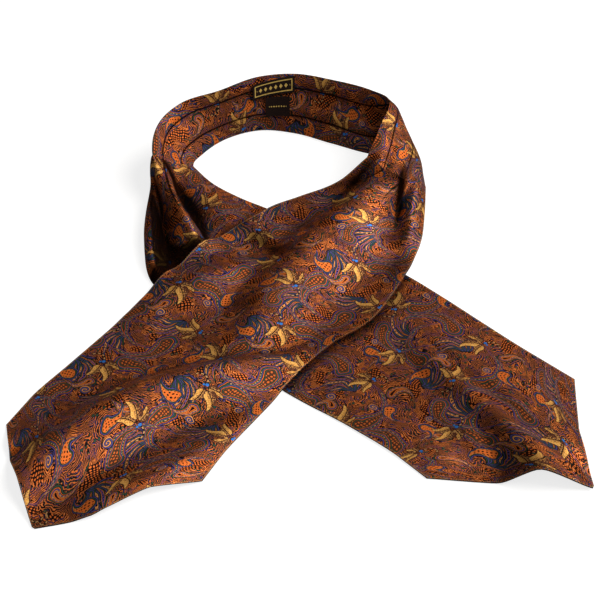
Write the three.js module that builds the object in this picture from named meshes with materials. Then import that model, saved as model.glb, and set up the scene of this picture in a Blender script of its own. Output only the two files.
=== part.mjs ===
// Silk cravat resting on a table. A pleated neckband stands in a loop at the back.
// Its two pointed blades come forward, cross and lie flat. Millimetres, +Z up, front is -Y.
import * as THREE from 'three';

// Driving sizes
const WALL = 2.0;             // both layers of silk and the air in them, as one wall
const SEAM_SHIFT = 1.0;       // each side of a seam is moved back by this much
const REST_GAP = 3.35;        // between the middles of the two blades where they cross
const REST_REACH = 11;        // how gently the upper blade follows the lower one's folds
const REST_SEARCH = 20;       // how far off a fold still counts
const HEM_ROWS = 12;          // rows between the last straight section and the pointed hem
const FLANK_REACH = 1.2;      // a flank's own length over the distance given in the tables
const CREST_ROUND = 0.05;     // how softly a fold turns over at its crest
const FOOT_ROUND = 0.03;      // and how softly it runs out at its foot
const CREST_STEPS = 6;        // steps between two points of a crest line
const LABEL_WALL = 1.0;
const LABEL_LIFT = 3.35;      // middle of the band to middle of the woven label
const SMALL_LABEL_LIFT = 2.85;
const ORIGIN = [-3.67, 3.83]; // middle of the outline, taken as the part's origin

// Small vector helpers
const add = (a, b) => a.map((v, i) => v + b[i]);
const sub = (a, b) => a.map((v, i) => v - b[i]);
const mul = (a, k) => a.map((v) => v * k);
const dot = (a, b) => a.reduce((sum, v, i) => sum + v * b[i], 0);
const cross = (a, b) => [
  a[1] * b[2] - a[2] * b[1],
  a[2] * b[0] - a[0] * b[2],
  a[0] * b[1] - a[1] * b[0],
];
const size = (a) => Math.hypot(...a);
const unit = (a) => mul(a, 1 / Math.max(size(a), 1e-9));
const mix = (a, b, k) => add(mul(a, 1 - k), mul(b, k));
const smooth = (k) => {
  const c = Math.min(Math.max(k, 0), 1);
  return c * c * (3 - 2 * c);
};

// A smooth curve through points, with as many steps in each interval as counts says
function curve(points, counts) {
  const gaps = points.slice(1).map((p, i) => Math.max(size(sub(p, points[i])), 1e-6));
  const slopes = points.map((p, i) => {
    if (i === 0) return mul(sub(points[1], p), 1 / gaps[0]);
    if (i === points.length - 1) return mul(sub(p, points[i - 1]), 1 / gaps[i - 1]);
    const before = mul(sub(p, points[i - 1]), 1 / gaps[i - 1]);
    const after = mul(sub(points[i + 1], p), 1 / gaps[i]);
    return mix(before, after, gaps[i - 1] / (gaps[i - 1] + gaps[i]));
  });
  const out = [points[0]];
  for (let i = 0; i < gaps.length; i += 1) {
    for (let n = 1; n <= counts[i]; n += 1) {
      const k = n / counts[i];
      const a = mul(points[i], (1 + 2 * k) * (1 - k) * (1 - k));
      const b = mul(slopes[i], k * (1 - k) * (1 - k) * gaps[i]);
      const c = mul(points[i + 1], k * k * (3 - 2 * k));
      const d = mul(slopes[i + 1], k * k * (k - 1) * gaps[i]);
      out.push(add(add(a, b), add(c, d)));
    }
  }
  return out;
}

// Sections across the cloth are joined along it: first each column, then each new row
function loft(rows, alongCounts, acrossCounts) {
  const columns = rows[0].map((_, j) => curve(rows.map((row) => row[j]), alongCounts));
  return columns[0].map((_, i) => curve(columns.map((column) => column[i]), acrossCounts));
}

// A fold's flank: 1 on the crest and 0 at the foot, a straight face rounded at both ends
function flank(t) {
  const s = Math.sqrt((FLANK_REACH * t) ** 2 + CREST_ROUND) - Math.sqrt(CREST_ROUND);
  return (1 - s + Math.sqrt((1 - s) ** 2 + FOOT_ROUND)) / 2;
}

// Height of the folds at a point in plan. Where flanks meet, the taller one leads.
function foldHeight(folds, x, y) {
  let total = 0;
  for (const { crest } of folds) {
    let best = Infinity;
    let bump = 0;
    for (let i = 0; i + 1 < crest.length; i += 1) {
      const [dx, dy] = sub(crest[i + 1], crest[i]);
      const length = Math.hypot(dx, dy);
      const along = ((x - crest[i][0]) * dx + (y - crest[i][1]) * dy) / length ** 2;
      const [cx, cy, height, left, right] = mix(crest[i], crest[i + 1], Math.min(Math.max(along, 0), 1));
      const away = Math.hypot(x - cx, y - cy);
      if (away < best) {
        best = away;
        const side = 0.5 + (dx * (y - cy) - dy * (x - cx)) / (2 * length * Math.max(away, 1e-6));
        bump = height * flank(away / (right + (left - right) * side));
      }
    }
    total += bump * bump;
  }
  return Math.sqrt(total);
}

const fold = (name, rows) => ({ name, crest: curve(rows, rows.slice(1).map(() => CREST_STEPS)) });

// Crest lines in plan. Columns: x, y, height, reach of the left flank, reach of the right one
const UPPER_FOLDS = [
  fold('shoulder', [[66, 124, 27, 30, 12], [43, 100, 25, 42, 20], [24, 74, 22, 52, 28], [11, 56, 20, 56, 30],
    [-2, 34, 18, 56, 30], [-12, 18, 16, 54, 30], [-30, -16, 13, 50, 28], [-46, -50, 9, 40, 26],
    [-68, -66, 3, 34, 24]]),
  fold('over the pleats', [[-31, 39, 5, 30, 18], [-48, 32, 9, 34, 22], [-68, 22, 12, 36, 26],
    [-87, 12, 11, 36, 26], [-107, -4, 7, 30, 22], [-125, -25, 3, 24, 18]]),
  fold('long crest', [[0, -68, 5, 26, 12], [-10, -75, 9, 34, 14], [-38, -83, 14, 38, 18],
    [-59, -92, 17, 40, 21], [-97, -107, 20, 42, 26], [-133, -130, 20, 42, 29], [-160, -153, 18, 40, 28],
    [-180, -173, 16, 38, 26], [-198, -195, 12, 34, 24], [-207, -210, 9, 30, 22]]),
  fold('outer corner', [[-215, -160, 4, 16, 16], [-194, -149, 5, 17, 18], [-173, -137, 4, 18, 20],
    [-153, -120, 2, 18, 20]]),
  fold('lifted edge', [[4, -80, 3, 18, 18], [24, -58, 5, 18, 18], [48, -38, 5, 18, 18],
    [70, -6, 3, 18, 18]]),
  fold('lower edge', [[-28, -118, 2, 16, 16], [-52, -146, 5, 18, 24], [-84, -180, 8, 20, 30],
    [-116, -204, 9, 24, 30], [-140, -218, 7, 24, 26]]),
  fold('neck edge', [[-6, 110, 10, 12, 14], [-25, 106, 8, 15, 14], [-50, 86, 6, 16, 16],
    [-72, 66, 4, 16, 16]]),
];
const UNDER_FOLDS = [
  fold('pleat end', [[-88, 62, 9, 20, 20], [-72, 46, 7, 20, 20], [-50, 22, 3, 20, 20]]),
  fold('outer pleat end', [[-121, 26, 8, 16, 16], [-112, 8, 5, 16, 16], [-98, -14, 2, 16, 16]]),
  fold('narrow crest', [[87, -48, 2, 10, 10], [96, -62, 5, 14, 14], [108, -86, 8, 22, 17],
    [120, -108, 11, 26, 19], [133, -124, 12, 28, 20], [153, -152, 14, 30, 21], [166, -174, 16, 34, 22],
    [170, -187, 17, 36, 24], [171, -202, 18, 38, 28]]),
  fold('broad crest', [[76, -35, 3, 50, 9], [97, -45, 5, 52, 10], [129, -82, 6, 50, 10],
    [150, -106, 7, 50, 10], [173, -139, 8, 48, 11], [192, -167, 8, 46, 12]]),
  fold('inner flank', [[65, -84, 2, 18, 18], [83, -101, 4, 22, 20], [104, -123, 6, 26, 20],
    [121, -144, 6, 26, 18], [131, -162, 4, 22, 16]]),
  fold('inner edge', [[37, -114, 2, 24, 24], [74, -142, 4, 26, 26], [102, -165, 4, 26, 26]]),
];

// Sections of the loops. Columns run across the cloth, each point is [x, y, z].
// Right side, from the crossing up to the seam by the neckband:
// neck edge, strip below it, valley, rise, shoulder, its flank, dark valley, outer roll, floor edge
const RIGHT_SEAM = [[56, 136, 38], [67, 126, 36], [69, 125, 33.5], [76, 121, 33], [84, 119, 30.5],
  [86, 120, 27.5], [89.5, 125, 20.5], [98, 128, 18], [106, 137, 5]];
const RIGHT_LOOP = [
  [[-25, 106, 9], [-11, 98.5, 6.5], [3, 91, 6], [15, 84.6, 15], [27, 78, 22.5], [46, 68, 17], [65, 58, 7],
    [79, 50.5, 2.5], [91, 44, 1]],
  [[0, 113, 15], [10, 107, 13], [20, 98, 13], [27, 92, 18], [35, 87.5, 23], [56, 80, 18], [76, 74, 5],
    [88.5, 69, 8], [99, 70, 1]],
  [[31.5, 119, 26], [37, 117.5, 23], [43, 116.5, 21.5], [49, 115, 23.5], [57, 113, 26.5], [73, 107.5, 23],
    [82.5, 103, 8], [91.5, 99, 14], [103.5, 103, 2]],
  RIGHT_SEAM,
];
// Left side, from the seam by the neckband down to the crossing:
// floor edge, curl side, curl top, curl rim, dark channel, back of pleat, pleat, valley, crest, neck edge
const LEFT_SEAM = [[-123, 140, 2], [-125, 141, 6], [-126, 142, 12], [-126, 143, 19], [-125.5, 144.5, 25.5],
  [-124, 147, 31.5], [-117, 152.7, 24], [-109, 158.8, 16.3], [-100.6, 164.8, 8.6], [-92, 170.6, 1]];
const LEFT_LOOP = [
  LEFT_SEAM,
  [[-127, 108, 1], [-127, 106, 9], [-123, 104, 15], [-119, 106, 12], [-116, 110, 5], [-112, 106, 17],
    [-105, 104, 23], [-100, 118, 6], [-84, 129, 9], [-74, 146, 1.5]],
  [[-127, 71, 1], [-127, 69, 8], [-123, 69, 14], [-118, 68, 12], [-112, 78, 2.5], [-101, 76, 13],
    [-92, 76, 19], [-85, 90, 4], [-68, 104, 9], [-52, 128, 1.5]],
  [[-120, 24, 1], [-118, 24, 5], [-115, 27, 8], [-112, 30, 6], [-102, 38, 1.5], [-91, 49, 5],
    [-81, 56, 9], [-70, 68, 3], [-50, 87, 6], [-25, 111, 1.5]],
];

// Flat parts: the two edges of each blade in plan, from the point to the crossing
const UPPER_EDGES = [
  { left: [-217, -138.5], right: [-70, -194.5] },
  { left: [-200.5, -108], right: [-55, -169] },
  { left: [-177.5, -76], right: [-37, -141.5] },
  { left: [-137, -19], right: [-4.5, -93] },
  { left: [-113, 17], right: [22, -59] },
  { left: [-83, 54], right: [54, -31] },
  { left: [-53, 82], right: [79, 14] },
];
const UPPER_HEM = {
  across: [0, 0.2, 0.41, 0.62, 0.8, 1],
  x: [-217, -209, -187, -145, -107, -70],
  y: [-139, -180, -240, -230, -207, -195],
};
const UNDER_EDGES = [
  { left: [-84, -24], right: [30, 70] },
  { left: [-15, -100.5], right: [84, 30] },
  { left: [37, -141], right: [144, -30.5] },
  { left: [70, -169.5], right: [177, -62.5] },
  { left: [91, -192], right: [208, -91] },
];
const UNDER_HEM = {
  across: [0, 0.27, 0.535, 0.78, 1],
  x: [91, 150, 210, 204.5, 208],
  y: [-192, -198, -203, -150, -91],
};

// Neckband, from the right seam round the back to the left seam: top edge and bottom edge
const BAND_SIDE = [
  RIGHT_SEAM,
  [[67, 166, 46], [76, 163, 42.5], [78, 163, 40], [86, 166, 36], [93, 170, 29], [95, 171, 26.5],
    [99, 172, 19], [102, 171, 9], [103, 165, 1]],
  [[74, 206, 49], [78, 205, 44], [79.5, 204.5, 42.5], [83, 202, 34], [86.5, 199, 24], [87, 198, 22.5],
    [87.5, 196, 15], [88, 192, 7], [87, 187, 1]],
];
const BAND_BACK = [
  { top: [62, 217, 48.5], bottom: [71, 187, 1] },
  { top: [27, 235, 47], bottom: [27, 204, 1] },
  { top: [-3, 245, 46], bottom: [-3, 218, 1] },
  { top: [-35, 241, 46], bottom: [-35, 223, 1] },
  { top: [-70, 220, 46], bottom: [-64, 211, 1] },
  { top: [-102, 204, 44.5], bottom: [-85, 188, 1] },
  { top: [-118.5, 184, 41], bottom: [-92, 175, 1] },
  { top: [-124, 149, 32], bottom: [-92, 171, 1] },
];
// How far down the band each pleat line lies, and how proud of the band it is
const PLEAT_DOWN = [0, 0.2, 0.24, 0.45, 0.66, 0.7, 0.8, 0.9, 1];
const PLEAT_PROUD = [0.9, 0.9, -0.4, -0.2, 0.6, -0.4, -0.2, 0, 0];

function bandRow(row, proud) {
  const across = unit(sub(row.top, row.bottom));
  const inward = unit([-(across[1] > 0 ? 0.35 : 0.2), -1, 0]);
  const face = unit(sub(inward, mul(across, dot(inward, across))));
  const at = (down) => mix(row.top, row.bottom, down);
  return PLEAT_DOWN.map((down, j) => add(at(down), mul(face, proud * PLEAT_PROUD[j])));
}

// The pointed end: rows between the last straight section and the hem
function hemPoint(hem, k) {
  let j = 0;
  while (j < hem.across.length - 2 && k > hem.across[j + 1]) j += 1;
  const part = (k - hem.across[j]) / (hem.across[j + 1] - hem.across[j]);
  return [hem.x[j] + part * (hem.x[j + 1] - hem.x[j]), hem.y[j] + part * (hem.y[j + 1] - hem.y[j])];
}

function flatRow(edge, count) {
  const points = [];
  for (let j = 0; j < count; j += 1) {
    const [x, y] = mix(edge.left, edge.right, j / (count - 1));
    points.push([x, y, WALL / 2]);
  }
  return points;
}

// A blade as rows of points from its seam to its hem. Up to the first of ownRows its height
// is that of the loop's sections, and from the second on it is that of the folds.
function bladeGrid(sections, alongCounts, acrossCounts, ownRows, folds, hem) {
  const grid = loft(sections, alongCounts, acrossCounts);
  const lastSteps = alongCounts[alongCounts.length - 1];
  const start = grid.length - 1 - lastSteps;
  const from = grid[start];
  const count = from.length;
  grid.length = start + 1;
  for (let i = 1; i <= HEM_ROWS; i += 1) {
    grid.push(from.map((p, j) => {
      const [hx, hy] = hemPoint(hem, j / (count - 1));
      return [...mix([p[0], p[1]], [hx, hy], i / HEM_ROWS), WALL / 2];
    }));
  }
  return grid.map((row, i) => row.map(([x, y, z]) => {
    const own = 1 - smooth((i - ownRows[0]) / (ownRows[1] - ownRows[0]));
    const height = WALL / 2 + foldHeight(folds, x, y);
    return [x, y, own * Math.max(z, WALL / 2) + (1 - own) * height];
  }));
}

// The upper blade rests on the lower one: no point is nearer than REST_GAP
function restOn(grid, support) {
  return grid.map((row) => row.map(([x, y, z]) => {
    let floor = WALL / 2;
    for (const [sx, sy, sz] of support) {
      const away = (x - sx) ** 2 + (y - sy) ** 2;
      if (away < REST_SEARCH ** 2) floor = Math.max(floor, sz + REST_GAP - away / (2 * REST_REACH));
    }
    return [x, y, Math.max(z, floor)];
  }));
}

// A closed wall on a grid of points, half its thickness to each side
function wall(grid, thickness) {
  const rows = grid.length;
  const columns = grid[0].length;
  const positions = [];
  const at = (i, j) => grid[Math.min(Math.max(i, 0), rows - 1)][Math.min(Math.max(j, 0), columns - 1)];
  for (const side of [1, -1]) {
    for (let i = 0; i < rows; i += 1) {
      for (let j = 0; j < columns; j += 1) {
        const along = unit(sub(at(i + 1, j), at(i - 1, j)));
        const across = unit(sub(at(i, j + 1), at(i, j - 1)));
        const normal = unit(cross(along, across));
        const point = add(grid[i][j], mul(normal, (side * thickness) / 2));
        positions.push(point[0] - ORIGIN[0], point[1] - ORIGIN[1], Math.max(point[2], 0));
      }
    }
  }
  const id = (side, i, j) => side * rows * columns + i * columns + j;
  const index = [];
  const quad = (a, b, c, d) => index.push(a, b, c, a, c, d);
  for (let i = 0; i + 1 < rows; i += 1) {
    for (let j = 0; j + 1 < columns; j += 1) {
      quad(id(0, i, j), id(0, i + 1, j), id(0, i + 1, j + 1), id(0, i, j + 1));
      quad(id(1, i, j), id(1, i, j + 1), id(1, i + 1, j + 1), id(1, i + 1, j));
    }
    quad(id(0, i, 0), id(1, i, 0), id(1, i + 1, 0), id(0, i + 1, 0));
    quad(id(0, i, columns - 1), id(0, i + 1, columns - 1), id(1, i + 1, columns - 1), id(1, i, columns - 1));
  }
  for (let j = 0; j + 1 < columns; j += 1) {
    quad(id(0, 0, j), id(0, 0, j + 1), id(1, 0, j + 1), id(1, 0, j));
    quad(id(0, rows - 1, j), id(1, rows - 1, j), id(1, rows - 1, j + 1), id(0, rows - 1, j + 1));
  }
  const geometry = new THREE.BufferGeometry();
  geometry.setAttribute('position', new THREE.Float32BufferAttribute(positions, 3));
  geometry.setIndex(index);
  geometry.computeVertexNormals();
  return geometry;
}

// The first row of a grid is moved back from its seam, along the cloth
function openSeam(grid, first) {
  const end = first ? 0 : grid.length - 1;
  const next = first ? 1 : grid.length - 2;
  return grid.map((row, i) => (i !== end ? row
    : row.map((p, j) => add(p, mul(unit(sub(grid[next][j], p)), SEAM_SHIFT)))));
}

const ACROSS_UPPER = [3, 3, 3, 3, 3, 3, 3, 3];
const upperRows = [
  [...RIGHT_LOOP].reverse(),
  [...UPPER_EDGES].reverse().map((edge) => flatRow(edge, RIGHT_SEAM.length)),
].flat();
const underRows = [
  LEFT_LOOP,
  UNDER_EDGES.map((edge) => flatRow(edge, LEFT_SEAM.length)),
].flat();

const ACROSS_UNDER = [3, 3, 3, 3, 3, 3, 3, 3, 3];
const UNDER_STEPS = [6, 5, 5, 4, 6, 5, 4, 3];
const underAlone = bladeGrid(underRows, UNDER_STEPS, ACROSS_UNDER, [16, 19], UNDER_FOLDS, UNDER_HEM);
const under = openSeam(underAlone, true);
// The same blade on a fine grid, for the upper one to rest on
const FINE_STEPS = [12, 12, 12, 16, 26, 20, 12, 8];
const fineAcross = ACROSS_UNDER.map((n) => n * 2);
const support = bladeGrid(underRows, FINE_STEPS, fineAcross, [36, 48], UNDER_FOLDS, UNDER_HEM).flat();
const UPPER_STEPS = [4, 4, 4, 4, 4, 4, 5, 7, 4, 4];
const upperAlone = bladeGrid(upperRows, UPPER_STEPS, ACROSS_UPPER, [12, 15], UPPER_FOLDS, UPPER_HEM);
const upper = openSeam(restOn(upperAlone, support), true);

const bandRows = [...BAND_SIDE, ...BAND_BACK.map((row) => bandRow(row, 1))];
const BAND_STEPS = [4, 4, 3, 4, 3, 6, 4, 4, 3, 4];
const BAND_ACROSS = ACROSS_UPPER;
const band = openSeam(openSeam(loft(bandRows, BAND_STEPS, BAND_ACROSS), true), false);

// A label lies on the inner face of the band, made from the band's own flat line.
// tilt is how much further down its left end hangs, as a share of the band's height.
function label(fromRow, toRow, tilt, downFrom, downTo, lift) {
  const plain = loft(BAND_BACK.map((row) => bandRow(row, 0)), BAND_STEPS.slice(3), BAND_ACROSS);
  const low = plain[0].length - 1;
  const normalAt = (i) => unit(cross(sub(plain[i][low], plain[i][0]), sub(plain[i + 1][0], plain[i - 1][0])));
  const rows = [];
  for (let i = fromRow; i <= toRow; i += 1) {
    const facing = normalAt(i)[1] > 0 ? -1 : 1;
    const lower = (tilt * (i - fromRow)) / (toRow - fromRow);
    rows.push([downFrom, (downFrom + downTo) / 2, downTo].map((down) => add(
      mix(plain[i][0], plain[i][low], down + lower), mul(normalAt(i), facing * lift))));
  }
  return rows;
}

const cravat = new THREE.Group();
cravat.name = 'silk_cravat';
function piece(name, geometry, color, roughness) {
  const material = new THREE.MeshStandardMaterial({ color, roughness, metalness: 0 });
  material.name = name;
  const mesh = new THREE.Mesh(geometry, material);
  mesh.name = name;
  cravat.add(mesh);
}
piece('neckband', wall(band, WALL), 0x6b3216, 0.45);
piece('blade_upper', wall(upper, WALL), 0x7a3a18, 0.45);
piece('blade_under', wall(under, WALL), 0x6b3216, 0.45);
piece('label_woven', wall(label(7, 14, 0.09, 0.02, 0.31, LABEL_LIFT), LABEL_WALL), 0x15120f, 0.7);
piece('label_small', wall(label(8, 12, 0.02, 0.42, 0.74, SMALL_LABEL_LIFT), LABEL_WALL), 0x100f10, 0.6);
export default cravat;
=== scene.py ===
# %% [markdown]
# # A silk cravat, laid out on a table
# The real thing is a long band of printed silk. The middle is pleated down to a neckband and
# the two ends are wide, pointed blades. Here the neckband stands in a loop, and the blades
# come forward, cross and lie flat. The lesson builds each cloth as a fine surface on the
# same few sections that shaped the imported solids, then works out its print, weave and light.

# %% Load the frame
import math

import bpy
import numpy as np
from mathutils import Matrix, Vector, kdtree


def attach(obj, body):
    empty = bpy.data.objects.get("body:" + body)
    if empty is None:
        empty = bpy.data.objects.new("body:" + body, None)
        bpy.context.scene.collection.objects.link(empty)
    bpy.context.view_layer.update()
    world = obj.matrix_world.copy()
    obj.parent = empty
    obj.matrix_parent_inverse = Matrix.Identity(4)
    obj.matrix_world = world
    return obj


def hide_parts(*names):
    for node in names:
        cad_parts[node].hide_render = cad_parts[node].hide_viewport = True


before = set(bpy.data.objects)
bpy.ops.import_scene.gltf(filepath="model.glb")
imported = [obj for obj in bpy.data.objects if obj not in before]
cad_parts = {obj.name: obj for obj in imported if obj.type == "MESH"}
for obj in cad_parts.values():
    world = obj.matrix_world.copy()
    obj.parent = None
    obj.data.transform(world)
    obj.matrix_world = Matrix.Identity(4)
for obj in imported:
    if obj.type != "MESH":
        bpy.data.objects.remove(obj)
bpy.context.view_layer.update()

print("pieces in the frame:", sorted(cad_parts))

# %% [markdown]
# ## The camera
# The photo looks down at the table from about 42 degrees, from far enough away that the
# blades hardly taper. A short lens close by would give the same size but make the front blade
# loom, so a long lens at 1.5 m is used.

# %% Camera
ORIGIN = np.array([-3.67, 3.83, 0.0])     # mm, from the sections' own zero to the part's origin
ELEVATION = math.radians(42)
DISTANCE = 1.5       # m, from the camera to the sections' own zero
LENS = 113.4         # mm, on a sensor 36 mm wide

scene = bpy.context.scene
scene.view_settings.view_transform = "Standard"
scene.view_settings.look = "None"
camera_data = bpy.data.cameras.new("camera")
camera_data.lens = LENS
camera_data.sensor_width = 36
camera = bpy.data.objects.new("camera", camera_data)
scene.collection.objects.link(camera)
target = Vector((-ORIGIN[0] / 1000, -ORIGIN[1] / 1000, 0))
back = Vector((0, -math.cos(ELEVATION), math.sin(ELEVATION)))
camera.location = target + back * DISTANCE
camera.rotation_mode = "QUATERNION"
camera.rotation_quaternion = (-back).to_track_quat("-Z", "Y")
scene.camera = camera
print("camera at", [round(v, 3) for v in camera.location])

# %% [markdown]
# ## The table
# A photo's white sheet is brighter than any cloth on it. A white floor in Blender would throw
# that brightness back up into the dark folds. So the sheet glows a little for the camera, and
# for the light that bounces off it, it is a plain grey.

# %% Table
TABLE_SIZE = 6                            # m, past the picture's edges on every side
TABLE_DROP = 0.0002                       # m, below the cloth, so that the two never flicker
GREY_TO_LIGHT = (0.30, 0.30, 0.30, 1)
GREY_TO_CAMERA = (0.40, 0.40, 0.40, 1)
GLOW = 0.78

bpy.ops.mesh.primitive_plane_add(size=TABLE_SIZE, location=(0, 0, -TABLE_DROP))
table = bpy.context.object
table.name = "table"
paper = bpy.data.materials.new("white paper")
paper.use_nodes = True
nodes, links = paper.node_tree.nodes, paper.node_tree.links
grey = nodes.new("ShaderNodeMix")
grey.data_type = "RGBA"
grey.inputs[6].default_value = GREY_TO_LIGHT
grey.inputs[7].default_value = GREY_TO_CAMERA
glow = nodes.new("ShaderNodeMath")
glow.operation = "MULTIPLY"
glow.inputs[1].default_value = GLOW
ray = nodes.new("ShaderNodeLightPath")
surface = nodes["Principled BSDF"]
surface.inputs["Roughness"].default_value = 0.9
surface.inputs["Emission Color"].default_value = (1, 1, 1, 1)
links.new(ray.outputs["Is Camera Ray"], grey.inputs[0])
links.new(ray.outputs["Is Camera Ray"], glow.inputs[0])
links.new(grey.outputs[2], surface.inputs["Base Color"])
links.new(glow.outputs[0], surface.inputs["Emission Strength"])
table.data.materials.append(paper)
print("table", TABLE_SIZE, "m wide")


# %% [markdown]
# ## The light
# Silk shows its folds by its glow. One large soft light behind on the right makes the crests
# shine and leaves the flanks that face the viewer dark, as in the photo. A weak one in front
# and a dim sky keep the darkest folds from going black.

# %% Lights
WORLD_LIGHT = 0.085


def area_light(name, position, size, power, colour):
    """A round lamp that looks at the cloth. Its place and size are in metres, its power in watts."""
    data = bpy.data.lights.new(name, "AREA")
    data.shape = "DISK"
    data.size = size
    data.energy = power
    data.color = colour
    light = bpy.data.objects.new(name, data)
    scene.collection.objects.link(light)
    light.location = position
    light.rotation_mode = "QUATERNION"
    light.rotation_quaternion = (Vector((0, 0, 0)) - Vector(position)).to_track_quat("-Z", "Y")
    print(name, "light", power, "W")


area_light("key", (2.1, 0.4, 2.05), 2.8, 126, (1.0, 0.97, 0.93))
area_light("fill", (-0.4, -0.9, 1.6), 1.0, 3, (1.0, 0.98, 0.96))
world = bpy.data.worlds.new("studio")
world.use_nodes = True
world.node_tree.nodes["Background"].inputs["Color"].default_value = (1, 1, 1, 1)
world.node_tree.nodes["Background"].inputs["Strength"].default_value = WORLD_LIGHT
scene.world = world

# %% [markdown]
# ## The cloth as sections
# A maker drapes the cravat and looks at its section at a few places. The tables below do the
# same: each row is one section across the cloth, each column one fold that runs along it.
# Smooth curves join the columns first and then each new row, so folds run on unbroken.
# It could also be a cloth simulation, but the photo's folds are set by hand, and these are listed.

# %% Curves and lofts
SILK = 1.1           # mm, the cloth as drawn: two layers of twill pressed together
DROP = 0.45          # mm, the solids' middle surface to this thinner one's
STEP = 2.1           # mm between the points of a visible surface


def curve(points, counts):
    """A smooth curve through points (n, ..., 3), with counts[i] steps in interval i."""
    gaps = np.maximum(np.linalg.norm(np.diff(points, axis=0), axis=-1, keepdims=True), 1e-6)
    step = np.diff(points, axis=0) / gaps
    inner = (step[:-1] * gaps[1:] + step[1:] * gaps[:-1]) / (gaps[1:] + gaps[:-1])
    slopes = np.concatenate([step[:1], inner, step[-1:]])
    out = [points[0]]
    for i, count in enumerate(counts):
        for n in range(1, count + 1):
            k = n / count
            out.append(points[i] * (1 + 2 * k) * (1 - k) ** 2 + slopes[i] * k * (1 - k) ** 2 * gaps[i]
                       + points[i + 1] * k * k * (3 - 2 * k) + slopes[i + 1] * k * k * (k - 1) * gaps[i])
    return np.array(out)


def steps_for(points, axis, fineness):
    """How many steps of about the given fineness fill each interval along one axis."""
    gaps = np.linalg.norm(np.diff(points, axis=axis), axis=-1).mean(axis=1 - axis)
    return [max(1, int(round(g / fineness))) for g in gaps]


def loft(rows, fineness=STEP):
    """Joins sections (rows, columns, 3) into a fine grid.
    Also gives each fine row's place among them, and the fine column of each column."""
    rows = np.array(rows, float)
    along, across = steps_for(rows, 0, fineness), steps_for(rows, 1, fineness)
    place = np.concatenate([[0], *[i + np.arange(1, n + 1) / n for i, n in enumerate(along)]])
    grid = curve(rows, along)
    return curve(grid.transpose(1, 0, 2), across).transpose(1, 0, 2), place, np.cumsum([0, *across])


def smooth(k):
    """0 to 1, slow at both ends."""
    k = np.clip(k, 0, 1)
    return k * k * (3 - 2 * k)


print("points every", STEP, "mm")

# %% [markdown]
# ## Soft folds in the blades
# Where a blade lies on the table, its folds are ridges: a crest that wanders over the cloth
# and two flanks that run down from it, one often steeper than the other. A sculpt would do, but
# it could not be changed later by one number. Here each crest is a short list of places with
# a height and the reach of its two flanks, and where ridges meet they melt together.

# %% Folds
CREST_ROUND = 0.05   # how round a crest's top is
FOOT_ROUND = 0.03    # how round its foot is
STEEPNESS = 1.44     # its root is how much faster a flank falls than a line to its reach
CREST_STEPS = 6      # short straight pieces between two places of a crest


def flank(t):
    """1 on a crest and 0 at its foot: a straight face, rounded at both ends."""
    t = np.sqrt(STEEPNESS * t * t + CREST_ROUND) - math.sqrt(CREST_ROUND)
    return (1 - t + np.sqrt((1 - t) ** 2 + FOOT_ROUND)) / 2


def fold_height(folds, x, y):
    """Height of the folds in plan. A crest has rows of x, y, height, and the reach of its flanks:
    first the one to the left of its run, then the one to the right."""
    total = np.zeros_like(x)
    for rows in folds:
        crest = curve(np.array(rows, float), [CREST_STEPS] * (len(rows) - 1))
        best, height, reach = np.full_like(x, 1e9), np.zeros_like(x), np.ones_like(x)
        for a, b in zip(crest, crest[1:]):
            dx, dy = b[:2] - a[:2]
            length = math.hypot(dx, dy)
            k = np.clip(((x - a[0]) * dx + (y - a[1]) * dy) / length ** 2, 0, 1)
            px, py = x - a[0] - k * dx, y - a[1] - k * dy
            away = np.hypot(px, py)
            side = 0.5 + 0.5 * (dx * py - dy * px) / (length * np.maximum(away, 1e-6))
            near = away < best
            now = a[:, None, None] + (b - a)[:, None, None] * k
            best = np.where(near, away, best)
            height = np.where(near, now[2], height)
            reach = np.where(near, now[4] + (now[3] - now[4]) * side, reach)
        total += (height * flank(best / reach)) ** 2
    return np.sqrt(total)


# x, y, height, left flank, right flank (mm)
UPPER_FOLDS = [
    [(66, 124, 27, 30, 12), (43, 100, 25, 42, 20), (24, 74, 22, 52, 28), (11, 56, 20, 56, 30),
     (-2, 34, 18, 56, 30), (-12, 18, 16, 54, 30), (-30, -16, 13, 50, 28), (-46, -50, 9, 40, 26),
     (-68, -66, 3, 34, 24)],
    [(-31, 39, 5, 30, 18), (-48, 32, 9, 34, 22), (-68, 22, 12, 36, 26), (-87, 12, 11, 36, 26),
     (-107, -4, 7, 30, 22), (-125, -25, 3, 24, 18)],
    [(0, -68, 5, 26, 12), (-10, -75, 9, 34, 14), (-38, -83, 14, 38, 18), (-59, -92, 17, 40, 21),
     (-97, -107, 20, 42, 26), (-133, -130, 20, 42, 29), (-160, -153, 18, 40, 28), (-180, -173, 16, 38, 26),
     (-198, -195, 12, 34, 24), (-207, -210, 9, 30, 22)],
    [(-215, -160, 4, 16, 16), (-194, -149, 5, 17, 18), (-173, -137, 4, 18, 20), (-153, -120, 2, 18, 20)],
    [(4, -80, 3, 18, 18), (24, -58, 5, 18, 18), (48, -38, 5, 18, 18), (70, -6, 3, 18, 18)],
    [(-28, -118, 2, 16, 16), (-52, -146, 5, 18, 24), (-84, -180, 8, 20, 30), (-116, -204, 9, 24, 30),
     (-140, -218, 7, 24, 26)],
    [(-6, 110, 10, 12, 14), (-25, 106, 8, 15, 14), (-50, 86, 6, 16, 16), (-72, 66, 4, 16, 16)],
]
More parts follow.
